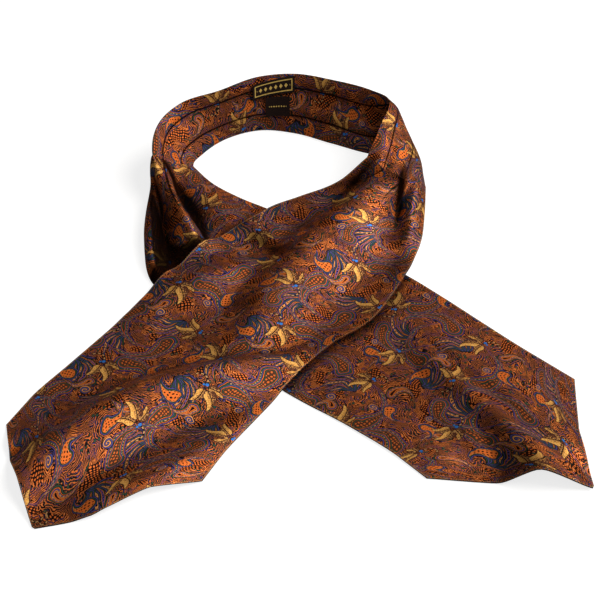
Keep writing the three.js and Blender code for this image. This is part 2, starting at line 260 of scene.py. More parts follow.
UNDER_FOLDS = [
    [(-88, 62, 9, 20, 20), (-72, 46, 7, 20, 20), (-50, 22, 3, 20, 20)],
    [(-121, 26, 8, 16, 16), (-112, 8, 5, 16, 16), (-98, -14, 2, 16, 16)],
    [(87, -48, 2, 10, 10), (96, -62, 5, 14, 14), (108, -86, 8, 22, 17), (120, -108, 11, 26, 19),
     (133, -124, 12, 28, 20), (153, -152, 14, 30, 21), (166, -174, 16, 34, 22), (170, -187, 17, 36, 24),
     (171, -202, 18, 38, 28)],
    [(76, -35, 3, 50, 9), (97, -45, 5, 52, 10), (129, -82, 6, 50, 10), (150, -106, 7, 50, 10),
     (173, -139, 8, 48, 11), (192, -167, 8, 46, 12)],
    [(65, -84, 2, 18, 18), (83, -101, 4, 22, 20), (104, -123, 6, 26, 20), (121, -144, 6, 26, 18),
     (131, -162, 4, 22, 16)],
    [(37, -114, 2, 24, 24), (74, -142, 4, 26, 26), (102, -165, 4, 26, 26)],
]
print("crests:", len(UPPER_FOLDS), "in the upper blade,", len(UNDER_FOLDS), "in the under one")

# %% [markdown]
# ## Pleated sections
# At both sides of the neck the blade's full width is pressed into pleats, and the cloth stands
# on its edge and curls over. A height over the table can't say that, so these parts are given
# as true sections in space. Every section names the same folds in the same order.

# %% Sections of the right loop
# neck edge, first pleat, its foot, valley, second pleat, its foot, dark valley, crest, floor edge
RIGHT_SEAM = [(56, 136, 38), (67, 126, 36), (69, 125, 33.5), (76, 121, 33), (84, 119, 30.5),
              (86, 120, 27.5), (89.5, 125, 20.5), (98, 128, 18), (106, 137, 5)]
RIGHT_LOOP = [
    [(-25, 106, 9), (-11, 98.5, 6.5), (3, 91, 6), (15, 84.6, 15), (27, 78, 22.5), (46, 68, 17), (65, 58, 7),
     (79, 50.5, 2.5), (91, 44, 1)],
    [(0, 113, 15), (10, 107, 13), (20, 98, 13), (27, 92, 18), (35, 87.5, 23), (56, 80, 18), (76, 74, 5),
     (88.5, 69, 8), (99, 70, 1)],
    [(31.5, 119, 26), (37, 117.5, 23), (43, 116.5, 21.5), (49, 115, 23.5), (57, 113, 26.5), (73, 107.5, 23),
     (82.5, 103, 8), (91.5, 99, 14), (103.5, 103, 2)],
    RIGHT_SEAM,
]
print("right loop:", len(RIGHT_LOOP), "sections of", len(RIGHT_SEAM), "points")

# %% Sections of the left loop
# floor edge, curl side, curl top, curl rim, dark channel, back of pleat, pleat, valley, crest, neck edge
LEFT_LOOP = [
    [(-123, 140, 2), (-125, 141, 6), (-126, 142, 12), (-126, 143, 19), (-125.5, 144.5, 25.5),
     (-124, 147, 31.5), (-117, 152.7, 24), (-109, 158.8, 16.3), (-100.6, 164.8, 8.6), (-92, 170.6, 1)],
    [(-127, 108, 1), (-127, 106, 9), (-123, 104, 15), (-119, 106, 12), (-116, 110, 5), (-112, 106, 17),
     (-105, 104, 23), (-100, 118, 6), (-84, 129, 9), (-74, 146, 1.5)],
    [(-127, 71, 1), (-127, 69, 8), (-123, 69, 14), (-118, 68, 12), (-112, 78, 2.5), (-101, 76, 13),
     (-92, 76, 19), (-85, 90, 4), (-68, 104, 9), (-52, 128, 1.5)],
    [(-120, 24, 1), (-118, 24, 5), (-115, 27, 8), (-112, 30, 6), (-102, 38, 1.5), (-91, 49, 5),
     (-81, 56, 9), (-70, 68, 3), (-50, 87, 6), (-25, 111, 1.5)],
]
print("left loop:", len(LEFT_LOOP), "sections of", len(LEFT_LOOP[0]), "points")

# %% [markdown]
# ## Outlines of the flat parts
# Past the crossing a blade lies flat, so its two edges in plan are enough, with one pair of
# places for each section. Its end isn't straight: the hem runs out to a point and sags a little
# between its corners, so it has a few places of its own.

# %% Edges and hems of the blades
# left and right edge from the crossing to the point (mm)
UPPER_EDGES = [
    ((-53, 82), (79, 14)), ((-83, 54), (54, -31)), ((-113, 17), (22, -59)), ((-137, -19), (-4.5, -93)),
    ((-177.5, -76), (-37, -141.5)), ((-200.5, -108), (-55, -169)), ((-217, -138.5), (-70, -194.5)),
]
# share across the blade, then x and y of the hem there (mm)
UPPER_HEM = ((0, 0.2, 0.41, 0.62, 0.8, 1), (-217, -209, -187, -145, -107, -70),
             (-139, -180, -240, -230, -207, -195))
UNDER_EDGES = [
    ((-84, -24), (30, 70)), ((-15, -100.5), (84, 30)), ((37, -141), (144, -30.5)),
    ((70, -169.5), (177, -62.5)), ((91, -192), (208, -91)),
]
UNDER_HEM = ((0, 0.27, 0.535, 0.78, 1), (91, 150, 210, 204.5, 208), (-192, -198, -203, -150, -91))
print("flat sections:", len(UPPER_EDGES), "and", len(UNDER_EDGES))

# %% [markdown]
# ## The neckband
# Round the back of the neck the pleats are pressed flat, one over the next, so the band is a
# leaning strip with two ledges along it. On the right it turns over into the blade, and has
# full sections there. Along the back, a top and a bottom edge give the strip's lean, and two
# short rows of shares say where each pleat steps in.

# %% Sections of the neckband
BAND_SIDE = [
    RIGHT_SEAM,
    [(67, 166, 46), (76, 163, 42.5), (78, 163, 40), (86, 166, 36), (93, 170, 29), (95, 171, 26.5),
     (99, 172, 19), (102, 171, 9), (103, 165, 1)],
    [(74, 206, 49), (78, 205, 44), (79.5, 204.5, 42.5), (83, 202, 34), (86.5, 199, 24), (87, 198, 22.5),
     (87.5, 196, 15), (88, 192, 7), (87, 187, 1)],
]
# top edge and bottom edge, from right to left (mm)
BAND_BACK = [
    ((62, 217, 48.5), (71, 187, 1)), ((27, 235, 47), (27, 204, 1)), ((-3, 245, 46), (-3, 218, 1)),
    ((-35, 241, 46), (-35, 223, 1)), ((-70, 220, 46), (-64, 211, 1)), ((-102, 204, 44.5), (-85, 188, 1)),
    ((-118.5, 184, 41), (-92, 175, 1)), ((-124, 149, 32), (-92, 171, 1)),
]
PLEAT_DOWN = (0, 0.2, 0.24, 0.45, 0.66, 0.7, 0.8, 0.9, 1)        # share of the band's height
PLEAT_PROUD = (0.9, 0.9, -0.4, -0.2, 0.6, -0.4, -0.2, 0, 0)      # mm, towards the neck
print("band:", len(BAND_SIDE), "full sections and", len(BAND_BACK), "edge pairs")


# %% [markdown]
# ## From sections to blades
# A blade starts as pleats and ends as flat cloth with a pointed hem. The loft joins the pleated
# sections with straight ones. Its last rows then run out to the hem, and past the pleats the
# heights of the folds take over from the sections, little by little, so no step shows.

# %% Blade surfaces
FLOOR = 1            # mm, the lowest height of the solids' middle surface
HANDOVER = 0.75      # sections, over which the folds take over from the pleats


def hem_rows(grid, hem, count):
    """Rows from the grid's last one to the pointed hem."""
    last = grid[-1]
    share = np.linspace(0, 1, last.shape[0])
    end = np.stack([np.interp(share, hem[0], hem[1]), np.interp(share, hem[0], hem[2]), last[:, 2]], axis=-1)
    k = (np.arange(1, count + 1) / count)[:, None, None]
    return np.concatenate([grid, last[None] * (1 - k) + end[None] * k])


def blade(loop, edges, folds, hem, fineness=STEP):
    """A blade's grid and its fine columns, from its pleated loop, flat edges, folds and hem."""
    columns = len(loop[0])
    flat = [[(*(np.array(left) + (np.array(right) - left) * j / (columns - 1)), FLOOR)
             for j in range(columns)] for left, right in edges]
    grid, place, columns_at = loft([*loop, *flat], fineness)
    keep = int(np.searchsorted(place, len(loop) + len(edges) - 2 + 1e-9))
    length = np.hypot(*(np.array(hem[:0:-1]).T[2] - np.array(edges[-2]).mean(axis=0))[::-1])
    grid = hem_rows(grid[:keep], hem, int(length / fineness))
    place = np.concatenate([place[:keep], np.full(len(grid) - keep, math.inf)])
    pleated = (1 - smooth((place - (len(loop) - 1)) / HANDOVER))[:, None]
    x, y, z = grid[..., 0], grid[..., 1], grid[..., 2]
    folded = FLOOR + fold_height(folds, x, y)
    grid[..., 2] = pleated * np.maximum(z, FLOOR) + (1 - pleated) * folded - DROP
    return grid, columns_at


under, under_columns = blade(LEFT_LOOP, UNDER_EDGES, UNDER_FOLDS, UNDER_HEM)
upper, upper_columns = blade(RIGHT_LOOP[::-1], UPPER_EDGES, UPPER_FOLDS, UPPER_HEM)
print("points:", under.shape, upper.shape)


# %% [markdown]
# ## One blade rests on the other
# The upper blade drapes over the lower one and the table. A cloth simulation would settle it,
# and also move the folds. Here every point that would sink into the lower blade is lifted clear
# of it, and the lift is smoothed so that it spreads into the cloth around.

# %% Resting
SUPPORT_STEP = 4.0   # mm, between the points that hold the upper blade up


def plan_tree(points):
    """A tree that finds the nearest of some points as seen from above."""
    tree = kdtree.KDTree(len(points))
    for i, (x, y, _) in enumerate(points):
        tree.insert((x, y, 0), i)
    tree.balance()
    return tree


def even_out(values, rounds):
    """Smooths values on a grid in place, a quarter of the way to their neighbours each round."""
    for _ in range(rounds):
        values[1:-1] += (values[2:] + values[:-2] - 2 * values[1:-1]) / 4
        values[:, 1:-1] += (values[:, 2:] + values[:, :-2] - 2 * values[:, 1:-1]) / 4


def rest_on(grid, support, gap=2.6, reach=11.0, search=14.0, rounds=12, give=0.8):
    """Lifts every point of grid to at least gap over the support's points, smoothly.
    The floor falls away in a round of the given reach beside each of them."""
    tree = plan_tree(support)
    floors = []
    for point in grid.reshape(-1, 3):
        floor = 0.0
        for _, i, away in tree.find_range((point[0], point[1], 0), search):
            floor = max(floor, support[i][2] + gap - away * away / (2 * reach))
        floors.append(floor)
    floors = np.array(floors).reshape(grid.shape[:2])
    lift = np.maximum(floors - grid[..., 2], 0)
    even_out(lift, rounds)
    grid[..., 2] = np.maximum(grid[..., 2] + lift, floors - give)
    return grid


support = blade(LEFT_LOOP, UNDER_EDGES, UNDER_FOLDS, UNDER_HEM, SUPPORT_STEP)[0].reshape(-1, 3)
before = upper[..., 2].copy()
upper = rest_on(upper, support)
print("lifted by up to", (upper[..., 2] - before).max().round(1), "mm")


# %% [markdown]
# ## The neckband's surface
# The band is lofted like the blades. Its last row isn't on its own edge: it is tucked behind
# the lower blade's pleats, as the real band runs on under them, so the seam never gapes.

# %% Neckband surface
def band_row(top, bottom):
    """One section of the band's back, from its top edge to its bottom edge."""
    top, bottom = np.array(top, float), np.array(bottom, float)
    across = (top - bottom) / np.linalg.norm(top - bottom)
    inward = np.array([-(0.35 if across[1] > 0 else 0.2), -1, 0])
    inward /= np.linalg.norm(inward)
    face = inward - across * inward.dot(across)
    face /= np.linalg.norm(face)
    return [top + (bottom - top) * down + face * proud for down, proud in zip(PLEAT_DOWN, PLEAT_PROUD)]


def tucked_row(grid, row, columns, behind=1.2):
    """One more row for the band, behind a row of the blade, so that no gap shows at the seam."""
    line, after, before = grid[row][columns], grid[row + 1][columns], grid[row - 1][columns]
    normal = np.cross(np.gradient(line, axis=0), after - before)
    normal /= np.linalg.norm(normal, axis=-1, keepdims=True)
    normal *= np.sign(normal[:, 2:])
    share = np.linspace(0, 1, len(line))
    return np.stack([np.interp(PLEAT_DOWN, share, (line - normal * behind)[:, k]) for k in range(3)], axis=-1)


under_inner = np.s_[under_columns[5]:]
tucked = tucked_row(under, 2, under_inner) + (0, 0, DROP)
tucked[..., 2] = np.maximum(tucked[..., 2], FLOOR)
band, _, band_columns = loft([*BAND_SIDE, *[band_row(*pair) for pair in BAND_BACK], tucked])
band[..., 2] -= DROP
print("band points:", band.shape)


# %% [markdown]
# ## Laying the cloth flat again
# A print is made on flat cloth. To place it on the draped one, each surface is laid out flat
# by letting a net of its edges relax until every edge has its true length again. The result
# gives the print's coordinates in millimetres of cloth, and the size of the cut.

# %% Flattening
def flatten(grid, rounds=260, haste=1.6):
    """Flat (u, v) in mm for a grid (rows, columns, 3) of cloth. Each round closes every edge's error
    from both ends, times haste, which is safe below 2."""
    along = np.linalg.norm(np.diff(grid, axis=0), axis=-1)
    across = np.linalg.norm(np.diff(grid, axis=1), axis=-1)
    u = np.concatenate([[0], np.cumsum(along.mean(axis=1))])
    v = np.concatenate([np.zeros((grid.shape[0], 1)), np.cumsum(across, axis=1)], axis=1)
    flat = np.stack([np.repeat(u[:, None], grid.shape[1], 1), v - v[:, -1:] / 2], axis=-1)
    pairs = [
        (np.s_[:-1, :], np.s_[1:, :]), (np.s_[:, :-1], np.s_[:, 1:]),
        (np.s_[:-1, :-1], np.s_[1:, 1:]), (np.s_[:-1, 1:], np.s_[1:, :-1]),
    ]
    lengths = [np.linalg.norm(grid[a] - grid[b], axis=-1) for a, b in pairs]
    for _ in range(rounds):
        move = np.zeros_like(flat)
        count = np.zeros(flat.shape[:2])
        for (a, b), length in zip(pairs, lengths):
            gap = flat[b] - flat[a]
            now = np.maximum(np.linalg.norm(gap, axis=-1), 1e-9)
            push = gap * ((now - length) / now * 0.5)[..., None]
            move[a] += push
            move[b] -= push
            count[a] += 1
            count[b] += 1
        flat += move / np.maximum(count, 1)[..., None] * haste
    return flat


def area_of(flat):
    """Area in square mm, from the two diagonals of each little patch."""
    d = flat[1:, 1:] - flat[:-1, :-1]
    e = flat[1:, :-1] - flat[:-1, 1:]
    return float(np.abs(d[..., 0] * e[..., 1] - d[..., 1] * e[..., 0]).sum() / 2)


flats = {name: flatten(grid) for name, grid in (("under", under), ("upper", upper), ("band", band))}
for name, flat in flats.items():
    lo, hi = flat.reshape(-1, 2).min(0), flat.reshape(-1, 2).max(0)
    print(name, "flat size mm", (hi - lo).round(1), "area mm2", round(area_of(flat)))

# %% [markdown]
# ### One cloth from end to end
# The band runs on into both blades, so its flat map is turned over and laid edge to edge with
# theirs. A map of its own for each piece would be simpler, but the print would jump at each
# seam. Here it runs on, and is out by only as much as the two flat edges differ in shape.

# %% Joining the maps
def joined(flat, own_edge, edge):
    """flat, moved and turned so that its own_edge lies along edge."""
    a, b = own_edge - own_edge.mean(0), edge - edge.mean(0)
    angle = math.atan2((a[:, 0] * b[:, 1] - a[:, 1] * b[:, 0]).sum(), (a * b).sum())
    turn = np.array([[math.cos(angle), math.sin(angle)], [-math.sin(angle), math.cos(angle)]])
    return (flat - own_edge.mean(0)) @ turn + edge.mean(0)


band_flat, under_flat = flats["band"] * (-1, 1), flats["under"] * (-1, 1)
band_map = joined(band_flat, band_flat[0][band_columns], flats["upper"][0][upper_columns])
seam = under_flat[0][under_inner]
along_seam, along_band = np.linspace(0, 1, len(seam)), np.linspace(0, 1, len(band_map[-1]))
seam_on_band = np.stack([np.interp(along_seam, along_band, band_map[-1][:, k]) for k in range(2)], axis=-1)
maps = {"upper": flats["upper"], "band": band_map, "under": joined(under_flat, seam, seam_on_band)}
seam_gaps = np.linalg.norm(band_map[0][band_columns] - flats["upper"][0][upper_columns], axis=-1)
print("print out at the right seam by", seam_gaps.mean().round(1), "mm on average")

# %% [markdown]
# ## Creases at the pleats' feet
# At the foot of each pleat the real cloth is tucked under, and a thin line of shade falls there. Splitting
# the mesh there would leave a hard step, so each point keeps its distance to the nearest foot,
# and the silk's material paints that shade as a dark line from it. Where a pleat opens out, its line fades.

# %% Crease marks
CREASE_END = 1.6     # mm, added to the distance where a line has faded out
FADE = 60            # mm, over which it fades along the cloth
UNDER_FADE_FROM = 40


def creases(grid, columns, strength):
    """Distance in mm along each row to the nearest of some columns. strength (rows) below 1 fades it."""
    run = np.cumsum(np.linalg.norm(np.diff(grid, axis=1, prepend=grid[:, :1]), axis=-1), axis=1)
    away = np.min([np.abs(run - run[:, [c]]) for c in columns], axis=0)
    return away + (1 - strength)[:, None] * CREASE_END


def run_along(grid, column):
    """Length in mm from the first row to each row, along one column."""
    return np.concatenate([[0], np.cumsum(np.linalg.norm(np.diff(grid[:, column], axis=0), axis=-1))])


upper_strength = 1 - smooth(run_along(upper, upper_columns[5]) / FADE)
under_strength = 1 - smooth((run_along(under, under_columns[6]) - UNDER_FADE_FROM) / FADE)
crease_marks = {"upper": creases(upper, upper_columns[[2, 5]], upper_strength),
                "band": creases(band, band_columns[[2, 5]], np.ones(len(band))),
                "under": creases(under, under_columns[[6]], under_strength)}
print("crease points:", int((crease_marks["band"] < 0.5).sum()))

# %% [markdown]
# ## Deep shade
# In the narrow hollows of the real cravat the silk goes almost black. The surface here is
# wider and shallower, so its shade is painted into the colour as soft patches, with the same kind of rows
# as the folds. A point that lies well below its neighbours gets painted shade too, and a painted
# shadow darkens whatever lies just beside the upper blade's edge.

# %% Shade rows
# painted shade rows: x, y, how dark (over 1 it stays full for longer), how far it reaches to the left and
# right (mm)
SHADES_UNDER = [
    [(-124, 125, 0.6, 4, 3), (-121, 92, 1.6, 9, 4), (-118, 66, 2.0, 18, 5), (-114, 44, 2.4, 34, 6),
     (-108, 28, 2.4, 40, 8)],
    [(-114, 20, 2.0, 12, 12), (-101, 37, 2.0, 16, 14), (-88, 54, 1.6, 12, 12), (-78, 66, 0.6, 8, 8)],
    [(112, -112, 0.2, 14, 14), (134, -146, 0.35, 18, 20), (160, -190, 0.4, 20, 24), (178, -206, 0.3, 20, 24)],
    [(-119, 157, 0.7, 6, 2), (-106, 130, 1.6, 12, 2), (-94, 106, 1.8, 15, 2), (-84, 82, 1.6, 13, 2),
     (-76, 62, 0.7, 9, 2)],
]
SHADES_SEAM = [
    [(94, 152, 0.0, 4, 4), (88, 137, 0.5, 5, 5), (84, 119, 1.3, 5, 4), (81, 102, 1.5, 6, 4),
     (78, 88, 0.7, 6, 5), (70, 72, 0.2, 6, 6)],
    [(76, 148, 0.0, 5, 5), (67, 136, 0.4, 8, 7), (56, 127, 0.9, 10, 9), (38, 114, 0.9, 9, 9),
     (25, 103, 0.3, 8, 8)],
]
SHADES_BAND = [*SHADES_SEAM, [(58, 216, 0.0, 10, 10), (70, 200, 0.5, 14, 14), (74, 190, 0.3, 10, 10)]]
SHADES_UPPER = [
    *SHADES_SEAM,
    [(-50, 86, 0.5, 10, 10), (-34, 69, 0.8, 13, 13), (-18, 52, 0.8, 14, 14), (-3, 38, 0.3, 14, 14)],
    [(-57, -2, 0.3, 12, 14), (-43, -12, 0.5, 14, 14), (-30, -22, 0.3, 12, 14)],
    [(87, 80, 0.3, 12, 8), (83, 52, 0.6, 14, 10), (72, 24, 0.6, 14, 10), (60, 2, 0.2, 14, 10)],
]
print("stains:", len(SHADES_UNDER), len(SHADES_BAND), len(SHADES_UPPER))


# %% Shade marks
def hollows(grid, shades, rounds=30, full_depth=5.0, ignored=0.4):
    """How much painted shade a point gets: 0 on open cloth to 1 where a point lies deep between its
    neighbours, or in one of the shades.
    A point is deep when the evened-out cloth passes over it, by more than the ignored mm."""
    evened = grid[..., 2].copy()
    even_out(evened, rounds)
    deep = np.clip((evened - grid[..., 2] - ignored) / full_depth, 0, 1)
    painted_shade = np.clip(fold_height(shades, grid[..., 0], grid[..., 1]), 0, 1)
    return np.maximum(deep, painted_shade)


def beside(grid, other, reach=11.0, darkest=0.85):
    """Painted shadow: darkness at points of grid that lie close to the side edges of other, seen from above.
    """
    tree = plan_tree(np.concatenate([other[:, 0], other[:, -1], other[-1]]))
    away = np.array([tree.find((x, y, 0))[2] for x, y, _ in grid.reshape(-1, 3)]).reshape(grid.shape[:2])
    return darkest * np.clip(1 - away / reach, 0, 1) ** 1.5


hollow_marks = {"upper": hollows(upper, SHADES_UPPER),
                "band": hollows(band, SHADES_BAND, full_depth=30.0),
                "under": np.maximum(hollows(under, SHADES_UNDER), beside(under, upper))}
for key, mark in hollow_marks.items():
    print(key, "share in deep shade:", round(float((mark > 0.5).mean()), 3))

# %% [markdown]
# ## Stitched edges with a painted highlight
# The real blades are closed along their edges, and a fine row of stitches shows there in pale
# thread. The same pale line also serves as a painted highlight on the rolled edge. Each point keeps
# its distance to the nearest edge, and the silk's material draws the stitches from it. The band's
# edges are folds, so it is given a distance that draws none.

# %% Edge marks
NO_EDGE = 9.0        # mm, too far from an edge for the stitches and their painted highlight


def edge_distance(grid):
    """Distance in mm to the nearest side edge or hem, along the cloth."""
    run = np.cumsum(np.linalg.norm(np.diff(grid, axis=1, prepend=grid[:, :1]), axis=-1), axis=1)
    down = np.cumsum(np.linalg.norm(np.diff(grid[::-1], axis=0, prepend=grid[-1:]), axis=-1), axis=0)[::-1]
    return np.minimum(np.minimum(run, run[:, -1:] - run), down)


edge_marks = {"upper": edge_distance(upper), "under": edge_distance(under),
              "band": np.full(band.shape[:2], NO_EDGE)}
print("furthest from an edge, mm:", {key: round(float(mark.max()), 1) for key, mark in edge_marks.items()})

# %% [markdown]
# ## The print
# The silk is printed, not woven in colours: a close paisley in rust, dark brown, green and
# blue, with gold accents. It could be painted as a picture, but a picture can't be made finer
# when the camera comes close. Here every motif is a formula: its distance to an outline, in
# millimetres of cloth, and bands of that distance are the printed lines. This paisley is a
# generic one, with a layout of its own, and sprigs of leaves are its gold accents.

# %% [markdown]
# ### Formulas as nodes
# Wiring hundreds of Math nodes by hand is slow and hard to read. A small class that stands for
# one socket lets each formula be written as a sum, and adds the node for it.

# %% Formulas as nodes
class Wire:
    """A socket in a formula: every sum, product or function adds one Math node."""

    def __init__(self, tree, socket):
        self.tree, self.socket = tree, socket

    def math(self, operation, *others, clamp=False):
        node = self.tree.nodes.new("ShaderNodeMath")
        node.operation, node.use_clamp = operation, clamp
        for slot, value in zip(node.inputs, (self, *others)):
            put(self.tree, slot, value)
        return Wire(self.tree, node.outputs[0])

    def vector(self, operation, *others):
        node = self.tree.nodes.new("ShaderNodeVectorMath")
        node.operation = operation
        for slot, value in zip(node.inputs, (self, *others)):
            put(self.tree, slot, value)
        return Wire(self.tree, node.outputs["Value" if operation == "LENGTH" else "Vector"])

    def __add__(self, other):
        return self.math("ADD", other)

    def __sub__(self, other):
        return self.math("SUBTRACT", other)

    def __mul__(self, other):
        return self.math("MULTIPLY", other)

    def __truediv__(self, other):
        return self.math("DIVIDE", other)


def put(tree, slot, value):
    """Links a wire to a socket, or sets the socket's own value."""
    if isinstance(value, Wire):
        tree.links.new(value.socket, slot)
    else:
        slot.default_value = value


def add(tree, kind, out=0, **inputs):
    """A node of any other kind. Names ending in _ are its settings."""
    node = tree.nodes.new("ShaderNode" + kind)
    for name, value in inputs.items():
        if name.endswith("_"):
            setattr(node, name[:-1], value)
    for name, value in inputs.items():
        if not name.endswith("_"):
            put(tree, node.inputs[name], value)
    return Wire(tree, node.outputs[out])


def split(wire):
    """The x and y of a vector."""
    node = wire.tree.nodes.new("ShaderNodeSeparateXYZ")
    put(wire.tree, node.inputs[0], wire)
    return Wire(wire.tree, node.outputs[0]), Wire(wire.tree, node.outputs[1])


# %% [markdown]
# ### Groups
# A motif is drawn once and printed many times. A node group holds it, with its own coordinates
# as the input, and its colour and its distance to the outline as the outputs.

# %% Groups
def new_group(name, inputs, outputs):
    """An empty node group with named sockets, and its inputs as wires."""
    tree = bpy.data.node_groups.new(name, "ShaderNodeTree")
    for label, start in inputs.items():
        kind = "NodeSocketVector" if isinstance(start, tuple) else "NodeSocketFloat"
        socket = tree.interface.new_socket(label, in_out="INPUT", socket_type=kind)
        socket.default_value = start
    for label, kind in outputs.items():
        tree.interface.new_socket(label, in_out="OUTPUT", socket_type="NodeSocket" + kind)
    enter = tree.nodes.new("NodeGroupInput")
    return tree, [Wire(tree, enter.outputs[label]) for label in inputs]


def finish_group(tree, **values):
    """Links what a group puts out, by name."""
    leave = tree.nodes.new("NodeGroupOutput")
    for label, value in values.items():
        put(tree, leave.inputs[label], value)
    print("group:", tree.name, "with", len(tree.nodes), "nodes")


def use(tree, group, **inputs):
    """Places a group. Gives its outputs as wires, by name."""
    node = tree.nodes.new("ShaderNodeGroup")
    node.node_tree = group
    for label, value in inputs.items():
        put(tree, node.inputs[label], value)
    return {output.name: Wire(tree, output) for output in node.outputs}


# %% [markdown]
# ### Bands and blends
# A printer lays one flat ink beside another, so colours here change in hard steps. Bands give
# an ink to each stretch of a distance, and a blend prints one colour over another by a mask.

# %% Bands and blends
def bands(wire, stops, span):
    """Colours in bands: stops are (from this many mm, colour), up to span."""
    node = wire.tree.nodes.new("ShaderNodeValToRGB")
    node.color_ramp.interpolation = "CONSTANT"
    elements = node.color_ramp.elements
    while len(elements) < len(stops):
        elements.new(1.0)
    for element, (start, colour) in zip(elements, stops):
        element.position = start / span
        element.color = (*colour, 1)
    put(wire.tree, node.inputs[0], wire / span)
    return Wire(wire.tree, node.outputs[0])


def blend(below, above, mask):
    """The colour below with the one above laid over it, where the mask is 1."""
    node = below.tree.nodes.new("ShaderNodeMix")
    node.data_type = "RGBA"
    put(below.tree, node.inputs[0], mask)
    put(below.tree, node.inputs[6], below)
    put(below.tree, node.inputs[7], above if isinstance(above, Wire) else (*above, 1))
    return Wire(below.tree, node.outputs[2])


# %% [markdown]
# ### The inks
# A printer mixes a few inks and uses them in every motif. They are set here, against
# the photo. Most are brighter than the cloth looks, because its folds turn from the light.

# %% Inks
RUST = (0.60, 0.135, 0.026)
PALE_RUST = (0.74, 0.28, 0.090)
BRIGHT_RUST = (0.70, 0.155, 0.028)
DULL_RUST = (0.20, 0.056, 0.020)
DARK = (0.010, 0.0052, 0.0045)
BROWN = (0.075, 0.028, 0.016)
MAUVE = (0.12, 0.042, 0.050)
BLUE = (0.080, 0.066, 0.235)
BRIGHT_BLUE = (0.03, 0.17, 0.52)
GREEN = (0.026, 0.062, 0.040)
TAN = (0.50, 0.27, 0.11)
GOLD = (0.68, 0.30, 0.052)
PALE_GOLD = (0.90, 0.50, 0.135)
DEEP_SHADE = (0.0025, 0.0012, 0.0008)
LABEL_GOLD = (0.72, 0.50, 0.13)
LABEL_OLD_GOLD = (0.56, 0.36, 0.09)
print("rust", RUST, "gold", GOLD)

# %% [markdown]
# ### Placing and drawing one motif
# A motif sits in the middle of its own repeat, so that no edge ever cuts it. Its group takes
# the cloth's millimetres, wraps them round the motif's place and turns them to its own axes.

# %% Place of a motif
REPEAT = 96.0        # mm, the print's repeat along and across the cloth

tree, (cloth, place, turn, stretch) = new_group(
    "place motif", {"Cloth": (0, 0, 0), "Place": (0, 0, 0), "Turn": 0.0, "Stretch": (1, 1, 1)},
    {"Vector": "Vector"})
half = REPEAT / 2
own = cloth.vector("SUBTRACT", place).vector("WRAP", (half, half, half), (-half, -half, -half))
own = add(tree, "VectorRotate", rotation_type_="Z_AXIS", Vector=own, Angle=turn)
finish_group(tree, Vector=own.vector("MULTIPLY", stretch))
PLACE = tree

# %% [markdown]
# ### Dots
# Seeds and spots fill the open places of a paisley. A square net of dots, turned so that its
# rows don't run with the cloth, does for all of them, and each use sets its own pitch and size.

# %% Dots
DOT_ROWS = math.radians(40)               # how far the rows of dots are turned

tree, (own, pitch) = new_group("dots", {"Vector": (0, 0, 0), "Pitch": 3.0}, {"Distance": "Float"})
own = add(tree, "VectorRotate", rotation_type_="Z_AXIS", Vector=own, Angle=DOT_ROWS)
cell = own.vector("DIVIDE", add(tree, "CombineXYZ", X=pitch, Y=pitch, Z=1.0)).vector("FRACTION")
cell = cell.vector("SUBTRACT", (0.5, 0.5, 0.0)).vector("MULTIPLY", (1, 1, 0))
finish_group(tree, Distance=cell.vector("LENGTH") * pitch)
DOTS = tree

# %% [markdown]
# ### Curls
# Small tight spirals sit between the drops. Adding the angle round the middle to the distance
# from it turns rings into one line that winds outwards.

# %% Curl
CURL_PITCH = 2.4     # mm, from one turn of the spiral to the next
CURL_RADIUS = 4.2    # mm

tree, (own,) = new_group("curl", {"Vector": (0, 0, 0)}, {"Color": "Color", "Distance": "Float"})
x, y = split(own)
far = own.vector("LENGTH")
turns = y.math("ARCTAN2", x) / (2 * math.pi)
side = ((far / CURL_PITCH - turns).math("FRACT") - 0.5).math("ABSOLUTE") * CURL_PITCH
finish_group(tree, Distance=far - CURL_RADIUS,
             Color=bands(side, [(0, BLUE), (0.34, DARK), (0.55, GREEN), (0.85, PALE_RUST)], 3.0))
CURL = tree

# %% [markdown]
# ### Paisleys
# A paisley is a drop whose tail bends over. Its centre line is a bent stem with a radius that
# shrinks to nothing, so the distance to it is that to a fat curve. Turning the motif's axes
# more and more away from its head sweeps the tail round. Every outline and inner line is one
# band of the distance. A long, a small and a spotted one come from the same formula.

# %% Shape of a drop
TAPER = 0.75         # below 1 the drop stays full for longer before its tail

tree, (own, length, radius, bend, twist) = new_group(
    "drop", {"Vector": (0, 0, 0), "Length": 30.0, "Radius": 8.0, "Bend": 0.3, "Twist": 0.02},
    {"Distance": "Float", "Along": "Float"})
own = add(tree, "VectorRotate", rotation_type_="Z_AXIS", Vector=own, Angle=own.vector("LENGTH") * twist)
x, y = split(own)
along = y.math("DIVIDE", length, clamp=True)
side = x - along * along * bend * length
beyond = y - along * length
width = radius * along.math("MULTIPLY_ADD", -1.0, 1.0).math("POWER", TAPER)
finish_group(tree, Distance=(side * side + beyond * beyond).math("SQRT") - width, Along=along)
DROP_SHAPE = tree


# %% Paisleys
DEEPEST = 12.0       # mm, past the middle of the fattest drop
BEADS_AT = 1.95      # mm inside the outline, a row of pale beads


def paisley(name, size, lines, pitch, spot, spots_from, ink):
    """A motif group: a drop with lines (depth in mm, ink) inside its outline, then spots."""
    length, radius, bend, twist = size
    tree, (own,) = new_group(name, {"Vector": (0, 0, 0)}, {"Color": "Color", "Distance": "Float"})
    shape = use(tree, DROP_SHAPE, Vector=own, Length=length, Radius=radius, Bend=bend, Twist=twist)
    depth = shape["Distance"] * -1.0
    spots = use(tree, DOTS, Vector=own, Pitch=pitch)["Distance"].math("LESS_THAN", spot)
    colour = blend(bands(depth, lines, DEEPEST), ink, spots * depth.math("GREATER_THAN", spots_from))
    beads = (shape["Along"] * (length * 2.6)).math("SINE").math("GREATER_THAN", 0.2)
    colour = blend(colour, TAN, beads * (depth - BEADS_AT).math("ABSOLUTE").math("LESS_THAN", 0.3))
    finish_group(tree, Color=colour, Distance=shape["Distance"])
    return tree


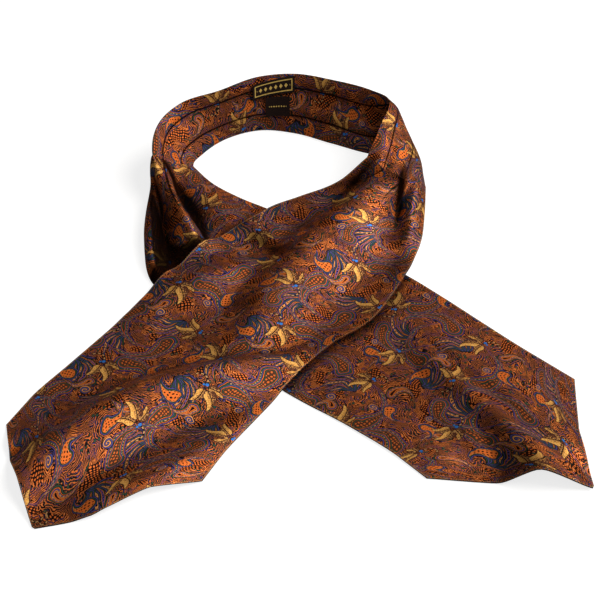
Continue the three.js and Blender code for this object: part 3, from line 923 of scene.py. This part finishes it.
LONG_DROP = paisley(
    "long paisley", (42.0, 8.2, 0.36, 0.030),
    [(0, BLUE), (0.45, DARK), (0.8, RUST), (1.15, DARK), (1.5, GREEN), (2.6, BLUE), (3.0, DARK),
     (3.35, RUST), (3.8, DARK), (4.2, GREEN), (4.9, BROWN)], 2.4, 0.72, 5.0, RUST)
SMALL_DROP = paisley(
    "small paisley", (23.0, 5.0, 0.48, 0.050),
    [(0, GREEN), (0.6, DARK), (0.9, RUST), (1.3, DARK), (1.6, BLUE), (2.1, DARK), (2.4, PALE_RUST),
     (2.8, DARK), (3.1, RUST), (3.9, DARK)], 2.2, 0.5, 9.0, DARK)
SPOTTED_LOBE = paisley(
    "spotted lobe", (17.0, 6.4, 0.50, 0.050),
    [(0, BLUE), (0.5, DARK), (0.8, GREEN), (1.5, DARK), (1.8, BRIGHT_RUST)], 2.6, 0.74, 2.3, DARK)

# %% [markdown]
# ### Fans of feathers
# Between the paisleys long feathers sweep out of one point. The angle round that point is cut
# into equal slices, a feather fills each slice and closes to a tip, and the outer ones are shorter.

# %% Fan of feathers
SLICE = 0.27         # radians, one feather's share of the fan
SPREAD = 0.95        # radians, from the fan's middle to its last feather
FEATHER = 36.0       # mm, the middle one
SHORTER = 19.0       # mm, taken off at one radian from the middle, and less nearer to it
SWEEP = 0.034        # radians for each mm out, which bends the whole fan

tree, (own,) = new_group("feather fan", {"Vector": (0, 0, 0)}, {"Color": "Color", "Distance": "Float"})
far = own.vector("LENGTH")
own = add(tree, "VectorRotate", rotation_type_="Z_AXIS", Vector=own, Angle=far * SWEEP)
x, y = split(own)
angle = x.math("ARCTAN2", y)
number = (angle / SLICE).math("FLOOR")
middle = (number + 0.5) * SLICE
along = far.math("DIVIDE", (middle * middle).math("MULTIPLY_ADD", -SHORTER, FEATHER), clamp=True)
half_width = far * (SLICE / 2) * along.math("POWER", 4.0).math("MULTIPLY_ADD", -1.0, 1.0)
depth = half_width - (angle - middle).math("ABSOLUTE") * far
depth = depth.math("MINIMUM", (angle.math("ABSOLUTE") * -1.0 + SPREAD) * far)
odd = (number * 0.5).math("FRACT").math("GREATER_THAN", 0.25)
first = bands(depth, [(0, DARK), (0.15, BLUE), (0.55, DARK), (0.75, GREEN), (1.35, DARK),
                      (1.5, PALE_RUST)], 5.0)
second = bands(depth, [(0, DARK), (0.15, GREEN), (0.8, DARK), (0.95, RUST), (1.4, DARK),
                       (1.6, BLUE)], 5.0)
beads = (far * 2.4).math("SINE").math("GREATER_THAN", -0.1) * depth.math("GREATER_THAN", 1.9)
finish_group(tree, Color=blend(blend(first, second, odd), DARK, beads), Distance=depth * -1.0)
FAN = tree

# %% [markdown]
# ### Sprigs of leaves
# The gold accents: three broad leaves, blue berries and a short dashed tendril. A leaf is a
# thin drop with a dark midrib. It is shaded from pale gold to brown across, with a stipple.

# %% Sprig
# place of a leaf's foot (mm), its turn (degrees), length and radius (mm), how strong its veins are
LEAVES = ((1.8, 0.5, 52, 11.0, 4.6, 0.6), (-1.8, 1.0, -44, 10.0, 4.2, 0.85), (0, 3.0, 4, 14.0, 5.2, 0.5))
LEAF_BEND = 0.30     # share of its length that the tip leans over
LEAF_INKS = [(0, BROWN), (0.22, DULL_RUST), (0.32, TAN), (0.44, GOLD), (0.64, PALE_GOLD)]
MIDRIB = 0.36        # mm, half its width

tree, (own,) = new_group("sprig", {"Vector": (0, 0, 0)}, {"Color": "Color", "Distance": "Float"})
grain = add(tree, "TexNoise", Vector=own, Scale=0.8, Detail=2.0)
nearest, colour = own.vector("LENGTH") - 0.8, None
for foot_x, foot_y, angle, length, radius, veined in LEAVES:
    axes = own.vector("SUBTRACT", (foot_x, foot_y, 0))
    axes = add(tree, "VectorRotate", rotation_type_="Z_AXIS", Vector=axes, Angle=math.radians(angle))
    axes = axes.vector("SUBTRACT", (0, radius, 0))
    leaf = use(tree, DROP_SHAPE, Vector=axes, Length=length, Radius=radius, Bend=LEAF_BEND, Twist=0.02)
    outline = leaf["Distance"]
    across, along = split(axes)
    side = across - leaf["Along"] * leaf["Along"] * (LEAF_BEND * length)
    own_colour = bands(side * 0.085 + grain * 1.6 - 0.40, LEAF_INKS, 1.0)
    vein = (side.math("ABSOLUTE") * 0.8 - along * 0.75).math("FRACT").math("LESS_THAN", 0.25)
    own_colour = blend(own_colour, BROWN, vein * veined)
    own_colour = blend(own_colour, DARK, side.math("ABSOLUTE").math("LESS_THAN", MIDRIB))
    own_colour = blend(own_colour, BROWN, outline.math("GREATER_THAN", -0.35))
    colour = blend(colour, own_colour, outline.math("LESS_THAN", 0.0)) if colour else own_colour
    nearest = nearest.math("MINIMUM", outline)
x, y = split(own.vector("SUBTRACT", (2.0, -8.0, 0)))
tendril = (((x * x + y * y).math("SQRT") - 6.5).math("ABSOLUTE") - 0.5).math("MAXIMUM", x + y * 0.3 + 1.5)
dash = (y.math("ARCTAN2", x) * 10.0).math("SINE").math("GREATER_THAN", 0.0)
inside = tendril.math("LESS_THAN", 0.0)
colour = blend(blend(colour, DARK, inside), TAN, dash * inside)
for x, y, radius in ((-1.8, -2.0, 1.4), (0.4, -3.4, 0.9)):
    berry = own.vector("SUBTRACT", (x, y, 0)).vector("LENGTH") - radius
    colour = blend(colour, BRIGHT_BLUE, berry.math("LESS_THAN", 0.0))
    nearest = nearest.math("MINIMUM", berry)
finish_group(tree, Color=colour, Distance=nearest.math("MINIMUM", tendril))
SPRIG = tree

# %% [markdown]
# ### The whole repeat
# Each row below is one motif: where its head lies in the repeat, how it is turned and
# mirrored, and how big it is. Later rows are printed over earlier ones.

# %% Motif tables
# x, y (mm), turn (degrees), mirrored, scale
MOTIFS = (
    (FAN, ((20, 12, -10, 1, 0.95), (72, 34, 170, -1, 0.9), (40, 60, 60, 1, 0.8))),
    (LONG_DROP, ((6, 50, -40, 1, 1.05), (48, 26, 140, -1, 1.0), (68, 64, 60, 1, 1.05),
                 (92, 16, -150, 1, 0.9))),
    (SMALL_DROP, ((34, 40, 80, 1, 0.95), (26, 86, 25, -1, 1.0), (58, 4, 100, 1, 0.95))),
    (SPOTTED_LOBE, ((34, 22, 130, 1, 0.95), (76, 92, -20, -1, 0.9), (8, 76, 200, 1, 0.85))),
    (CURL, ((44, 43, 0, 1, 0.9), (84, 4, 120, -1, 0.8), (16, 66, 220, 1, 0.8))),
)
SPRIGS = ((14, 36, 30, 1, 0.95), (66, 14, -130, -1, 0.9), (46, 78, 150, 1, 0.9))


def placed(tree, cloth, row):
    """The cloth's millimetres in one motif's own axes."""
    x, y, turn, mirror, scale = row
    return use(tree, PLACE, Cloth=cloth, Place=(x, y, 0), Turn=math.radians(turn),
               Stretch=(mirror / scale, 1 / scale, 1))["Vector"]


print("motifs in a repeat:", sum(len(rows) for _, rows in MOTIFS), "and", len(SPRIGS), "sprigs")

# %% [markdown]
# ### The ground
# The ground between the motifs is filled with close lines. They echo the nearest motif's
# outline every two millimetres or so and are shaken by noise, which is how such grounds are
# drawn. Here and there seeds or small green flowers take their place.

# %% The print as one group
LINE_PITCH = 1.8     # mm, from one line of the ground to the next
FLOWERS = 0.17       # flowers for each mm of cloth

tree, (cloth,) = new_group("cravat print", {"Cloth": (0, 0, 0)}, {"Color": "Color"})
shake = add(tree, "TexNoise", out=1, Vector=cloth, Scale=0.09, Detail=1.0)
point = cloth.vector("ADD", shake.vector("SUBTRACT", (0.5, 0.5, 0.5)).vector("MULTIPLY", (6.0, 6.0, 0.0)))
layers = [use(tree, group, Vector=placed(tree, point, row)) for group, rows in MOTIFS for row in rows]
nearest = layers[0]["Distance"]
for layer in layers[1:]:
    nearest = nearest.math("MINIMUM", layer["Distance"])

coarse = add(tree, "TexNoise", Vector=cloth, Scale=0.14, Detail=2.0)
fine = add(tree, "TexNoise", Vector=cloth, Scale=0.6, Detail=1.0)
patch = add(tree, "TexNoise", Vector=cloth, Scale=0.055, Detail=1.0)
line = ((nearest + coarse * 7.0 + fine * 1.6) / LINE_PITCH).math("FRACT") * 10.0
colour = bands(line, [(0, DARK), (4.4, RUST), (6.4, PALE_RUST), (7.6, RUST), (9.3, DULL_RUST)], 10.0)
dull = bands(line, [(0, DARK), (3.4, MAUVE), (4.6, DARK), (5.8, RUST), (8.4, GREEN)], 10.0)
cool = bands(line, [(0, DARK), (3.2, BLUE), (4.4, DARK), (6.2, RUST), (8.8, GREEN)], 10.0)
colour = blend(colour, dull, patch.math("GREATER_THAN", 0.5))
colour = blend(colour, cool, coarse.math("GREATER_THAN", 0.54))
seeds = use(tree, DOTS, Vector=point, Pitch=2.1)["Distance"]
seeds = bands(seeds, [(0, BRIGHT_RUST), (0.45, RUST), (0.64, DARK)], 3.0)
colour = blend(colour, seeds, patch.math("LESS_THAN", 0.4))
cells = tree.nodes.new("ShaderNodeTexVoronoi")
cells.inputs["Scale"].default_value = FLOWERS
put(tree, cells.inputs["Vector"], cloth)
flower = Wire(tree, cells.outputs["Distance"]) / FLOWERS
petals = bands(flower, [(0, RUST), (0.35, GREEN), (1.1, DARK)], 5.0)
colour = blend(colour, petals, flower.math("LESS_THAN", 1.35) * nearest.math("GREATER_THAN", 1.3))
for layer in layers:
    colour = blend(colour, DARK, layer["Distance"].math("LESS_THAN", 0.35))
    colour = blend(colour, layer["Color"], layer["Distance"].math("LESS_THAN", 0.0))
for row in SPRIGS:
    sprig = use(tree, SPRIG, Vector=placed(tree, cloth, row))
    colour = blend(colour, DARK, sprig["Distance"].math("LESS_THAN", 0.5) * 0.6)
    colour = blend(colour, sprig["Color"], sprig["Distance"].math("LESS_THAN", 0.0))
finish_group(tree, Color=colour)
PRINT = tree

# %% [markdown]
# ## The weave
# Silk twill is smooth, with diagonal lines finer than half a millimetre that the eye only
# meets as a soft glow. A sine wave across the diagonal gives the lines, and a stretched noise
# the slightly uneven threads. Both make a bump that is too low to be seen as lines.

# %% Twill group
TWILL_TURN = math.radians(63)             # the diagonal's angle to the cloth's length

tree, (cloth, pitch) = new_group("twill", {"Cloth": (0, 0, 0), "Pitch": 0.45},
                                 {"Height": "Float", "Slub": "Float"})
turned = add(tree, "VectorRotate", rotation_type_="Z_AXIS", Vector=cloth, Angle=TWILL_TURN)
x, y = split(turned)
ridge = (x * (2 * math.pi) / pitch).math("SINE")
slub = add(tree, "TexNoise", Vector=turned.vector("MULTIPLY", (0.05, 0.9, 1.0)), Scale=1.0, Detail=2.0)
finish_group(tree, Height=ridge * 0.5 + slub * 0.8, Slub=slub)
TWILL = tree


# %% [markdown]
# ## Materials
# Every cloth here starts as a Principled shader with a map in millimetres of cloth, and most
# have a bump of their threads, so two helpers make those once.

# %% Material helpers
def cloth_material(name, roughness, metallic):
    """A material with a map of the cloth in mm, its Principled shader, and its tree."""
    material = bpy.data.materials.new(name)
    material.use_nodes = True
    tree = material.node_tree
    shader = tree.nodes["Principled BSDF"]
    shader.inputs["Roughness"].default_value = roughness
    shader.inputs["Metallic"].default_value = metallic
    uv = add(tree, "UVMap", uv_map_="cloth")
    return material, tree, shader, uv.vector("MULTIPLY", (1000, 1000, 0))


def add_bump(tree, shader, height, strength, distance):
    """Raises the shader's surface by a height, which is one distance (m) at 1."""
    bump = tree.nodes.new("ShaderNodeBump")
    bump.inputs["Strength"].default_value = strength
    bump.inputs["Distance"].default_value = distance
    put(tree, bump.inputs["Height"], height)
    put(tree, shader.inputs["Normal"], Wire(tree, bump.outputs[0]))


# %% [markdown]
# ### Printed silk
# Silk glows in the colour of its own ink. A sheen layer would whiten it, so the shader is made
# a little more than half metallic, which tints its reflections with the print. The painted
# shade of the creases and hollows, and the stitches with their painted edge highlight, come
# from the marks that each point carries.

# %% Printed silk
SILK_ROUGHNESS = 0.45
SILK_METALLIC = 0.58
SILK_SPECULAR = 0.12
STITCH_AND_HIGHLIGHT_AT = 0.8      # mm inside the edge

silk, tree, shader, cloth = cloth_material("printed silk", SILK_ROUGHNESS, SILK_METALLIC)
shader.inputs["Specular Tint"].default_value = (0.62, 0.45, 0.38, 1)
pattern = use(tree, PRINT, Cloth=cloth)
weave = use(tree, TWILL, Cloth=cloth)
# painted shade: a dark line at each pleat's foot, from the fold mark
fold = add(tree, "Attribute", out="Fac", attribute_name_="fold")
shade = add(tree, "MapRange", out="Result", interpolation_type_="SMOOTHSTEP", Value=fold)
for limit, value in (("From Min", 0.3), ("From Max", 1.5), ("To Min", 0.92), ("To Max", 0.0)):
    shade.socket.node.inputs[limit].default_value = value
# painted shade in the hollows and painted shadow beside the upper blade's edge, from the hollow mark
hollow = add(tree, "Attribute", out="Fac", attribute_name_="hollow")
from_edge = add(tree, "Attribute", out="Fac", attribute_name_="edge")
x, y = split(cloth)
# pale stitches along the blades' edges, which also paint a highlight on the rolled edge
stitch_and_highlight = ((x + y) * 3.6).math("SINE").math("GREATER_THAN", -0.2)
stitch_and_highlight = stitch_and_highlight * (from_edge - STITCH_AND_HIGHLIGHT_AT).math("ABSOLUTE").math("LESS_THAN", 0.34)
colour = blend(pattern["Color"], TAN, stitch_and_highlight * 0.8)
# the painted shade turns the print near black and takes its specular glint away
shade = shade.math("MAXIMUM", hollow * 0.97)
put(tree, shader.inputs["Base Color"], blend(colour, DEEP_SHADE, shade))
put(tree, shader.inputs["Specular IOR Level"], shade * -SILK_SPECULAR + SILK_SPECULAR)
put(tree, shader.inputs["Roughness"], weave["Slub"] * 0.10 + SILK_ROUGHNESS)
add_bump(tree, shader, weave["Height"], 0.25, 0.00006)
print("printed silk:", len(tree.nodes), "nodes")

# %% [markdown]
# ### Folded edge
# Seen edge on, the cloth is a fold of thread ends, and the print doesn't show. The shell's rim
# gets a material of its own, in the print's dark inks, so that no motif smears across it.

# %% Folded edge
edge, tree, shader, cloth = cloth_material("folded edge", 0.6, 0.3)
shader.inputs["Specular IOR Level"].default_value = 0.2
thread = add(tree, "TexNoise", Vector=cloth, Scale=0.6, Detail=2.0)
put(tree, shader.inputs["Base Color"], bands(thread, [(0, DARK), (0.47, BROWN), (0.58, DULL_RUST)], 1.0))
print("folded edge:", len(tree.nodes), "nodes")


# %% [markdown]
# ## Cloth as objects
# A grid of points becomes a mesh of four-sided faces. Its other side and its edge come from a
# Solidify modifier, so the grid stays one clean sheet. The side edges are marked sharp, or the
# shading would roll over them and the thin rim would look inflated.

# %% From a grid to a cloth
def cloth_object(name, grid, flat, thickness=SILK, marks=()):
    """A thin cloth with its flat coordinates as its map, in metres. marks are values kept at its points."""
    rows, columns = grid.shape[:2]
    points = (grid.reshape(-1, 3) - ORIGIN) / 1000
    i, j = np.meshgrid(np.arange(rows - 1), np.arange(columns - 1), indexing="ij")
    a = (i * columns + j).ravel()
    faces = np.stack([a, a + columns, a + columns + 1, a + 1], axis=-1)
    mesh = bpy.data.meshes.new(name)
    mesh.from_pydata(points.tolist(), [], faces.tolist())
    layer = mesh.uv_layers.new(name="cloth")
    index = np.empty(len(mesh.loops), int)
    mesh.loops.foreach_get("vertex_index", index)
    layer.data.foreach_set("uv", (flat.reshape(-1, 2)[index] / 1000).ravel())
    mesh.polygons.foreach_set("use_smooth", np.ones(len(faces), bool))
    ends = np.empty(len(mesh.edges) * 2, int)
    mesh.edges.foreach_get("vertices", ends)
    ends = ends.reshape(-1, 2)
    i, j = ends // columns, ends % columns
    rim = ((i == 0) | (i == rows - 1)).all(1) & (i[:, 0] == i[:, 1])
    rim |= ((j == 0) | (j == columns - 1)).all(1) & (j[:, 0] == j[:, 1])
    mesh.edges.foreach_set("use_edge_sharp", rim)
    for mark, values in dict(marks).items():
        mesh.attributes.new(mark, "FLOAT", "POINT").data.foreach_set("value", values.ravel())
    piece = bpy.data.objects.new(name, mesh)
    scene.collection.objects.link(piece)
    shell = piece.modifiers.new("cloth", "SOLIDIFY")
    shell.thickness = thickness / 1000
    shell.offset = 0
    shell.material_offset_rim = 1
    return piece


# %% [markdown]
# ## The three silk pieces
# The under blade, the upper blade and the neckband are one cloth in real life. They are three
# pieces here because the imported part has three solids, and each piece takes the place of one.

# %% Silk pieces
for name, grid, key, node in (("blade_under_silk", under, "under", "blade_under"),
                              ("blade_upper_silk", upper, "upper", "blade_upper"),
                              ("neckband_silk", band, "band", "neckband")):
    # fold and hollow carry painted shade; edge places the stitches and their painted highlight
    marks = {"fold": crease_marks[key], "hollow": hollow_marks[key], "edge": edge_marks[key]}
    piece = cloth_object(name, grid, maps[key], marks=marks)
    piece.data.materials.append(silk)
    piece.data.materials.append(edge)
    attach(piece, "root")
    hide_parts(node)
    print(name, len(piece.data.polygons), "faces")

# %% [markdown]
# ## The two labels
# A woven label and a smaller one hang inside the back of the neckband. Each is cut out of the
# band's own inner face and moved a little towards the neck, so it bends just as the band does.

# %% Label shapes
LABEL_STEP = 1.5     # mm between points along a label
LABEL_ROWS = 12      # points down a label
back_sections = [[np.array(top, float) + (np.array(bottom, float) - top) * k for k in (0, 0.5, 1)]
                 for top, bottom in BAND_BACK[1:5]]
plain_band, _, _ = loft(back_sections, LABEL_STEP)


def label(x_from, x_to, tilt, down_from, down_to, lift):
    """A strip of the band's inner face between two places along x, moved out by lift (mm).
    tilt is how much further down its left end hangs, as a share of the band's height."""
    rows = plain_band[(plain_band[:, 0, 0] < x_to) & (plain_band[:, 0, 0] > x_from)]
    along = np.gradient(rows[:, 0], axis=0)
    out = np.cross(along, rows[:, -1] - rows[:, 0])
    out *= -np.sign(out[:, 1:2]) / np.linalg.norm(out, axis=-1, keepdims=True)
    lower = tilt * (rows[:, 0, 0] - x_to) / (x_from - x_to)
    down = np.linspace(down_from, down_to, LABEL_ROWS)[None, :, None] + lower[:, None, None]
    grid = rows[:, :1] * (1 - down) + rows[:, -1:] * down + out[:, None] * lift
    grid[..., 2] -= DROP
    u = np.concatenate([[0], np.cumsum(np.linalg.norm(np.diff(grid[:, 0], axis=0), axis=-1))])
    v = np.linspace(0, np.linalg.norm(grid[:, -1] - grid[:, 0], axis=-1).mean(), LABEL_ROWS)
    u, v = np.meshgrid(u - u[-1] / 2, v - v[-1] / 2, indexing="ij")
    return grid, np.stack([u, v], axis=-1)


woven_grid, woven_flat = label(-43, -4, 0.10, 0.03, 0.31, 2.6)
small_grid, small_flat = label(-32, -9, 0.02, 0.38, 0.72, 2.2)
print("label points:", woven_grid.shape, small_grid.shape)


# %% [markdown]
# ### Label cloth
# Both labels are black damask, and their threads show as fine ribs. The larger one has a gold
# border and a row of lozenges, and the small one a row of dots. Like the print, the drawings
# are formulas, here in millimetres from the label's middle.

# %% Label drawings
BORDER_INSET = 2.4   # mm, from the label's edge to the middle of its border
LOZENGE_PITCH = 4.6
DOT_PITCH = 2.2
half_length, half_height = woven_flat[-1, 0, 0], woven_flat[0, -1, 1]


def border_and_lozenges(x, y):
    """1 on the woven label's gold threads."""
    inset = (x.math("ABSOLUTE") - half_length + BORDER_INSET).math(
        "MAXIMUM", y.math("ABSOLUTE") - half_height + BORDER_INSET)
    border = inset.math("ABSOLUTE").math("LESS_THAN", 0.42)
    lozenge = (x / LOZENGE_PITCH).math("FRACT") - 0.5
    lozenge = lozenge.math("ABSOLUTE") * LOZENGE_PITCH + y.math("ABSOLUTE") * 0.75 - 1.5
    return border.math("MAXIMUM", lozenge.math("LESS_THAN", 0.0) * inset.math("LESS_THAN", -1.6))


def dots(x, y):
    """1 on the small label's gold threads."""
    dot = ((x / DOT_PITCH).math("FRACT") - 0.5) * DOT_PITCH
    dot = (dot * dot + y * y).math("SQRT").math("LESS_THAN", 0.65)
    return dot * x.math("ABSOLUTE").math("LESS_THAN", 7.7)


print("woven label's half size:", round(float(half_length), 1), round(float(half_height), 1), "mm")


# %% Label cloth
def label_material(name, ground, drawn):
    """Damask in a ground colour, with gold where drawn says so."""
    material, tree, shader, cloth = cloth_material(name, 0.7, 0.0)
    shader.inputs["Specular IOR Level"].default_value = 0.1
    x, y = split(cloth)
    threads = (y * 9.0).math("SINE") * 0.5 + (x * 5.0).math("SINE") * 0.25
    thread = add(tree, "TexNoise", Vector=cloth, Scale=1.5, Detail=2.0)
    colour = blend(bands(thread, [(0, ground), (0.55, BROWN)], 1.0), ground, 0.75)
    gold = bands(thread, [(0, LABEL_GOLD), (0.5, LABEL_OLD_GOLD)], 1.0)
    put(tree, shader.inputs["Base Color"], blend(colour, gold, drawn(x, y)))
    add_bump(tree, shader, threads, 0.4, 0.0001)
    return material


# %% [markdown]
# ### The labels in place
# A label is thinner than the silk and has no fold at its edge, so its rim keeps the label's
# own material.

# %% Label pieces
LABEL_CLOTH = 0.6    # mm

for name, grid, flat, node, slot, drawn in (
        ("woven_label_cloth", woven_grid, woven_flat, "label_woven", "woven_label", border_and_lozenges),
        ("small_label_cloth", small_grid, small_flat, "label_small", "small_label", dots)):
    piece = cloth_object(name, grid, flat, LABEL_CLOTH)
    piece.modifiers["cloth"].material_offset_rim = 0
    piece.data.materials.append(label_material(name.replace("_", " "), DARK, drawn))
    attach(piece, "root")
    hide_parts(node)
    size = flat.reshape(-1, 2).max(0) - flat.reshape(-1, 2).min(0)
    tuple(sorted((size / 1000).tolist()))
    print(name, "mm", size.round(1))

# %% [markdown]
# ## What each cloth says of itself
# A sheet states its flat size, what it lies on and how it is held, so that another maker can
# check the shape against the cut. The area is that of what shows, without hidden layers.

# %% Silk sheets
for key, held, rests in (("under", "laid", ["table"]), ("upper", "laid", ["table", "blade_under_silk"]),
                         ("band", "folded", ["table"])):
    flat = flats[key].reshape(-1, 2)
    width, length = sorted(((flat.max(0) - flat.min(0)) / 1000).tolist())
    area = min(area_of(flats[key]) / 1e6, width * length)
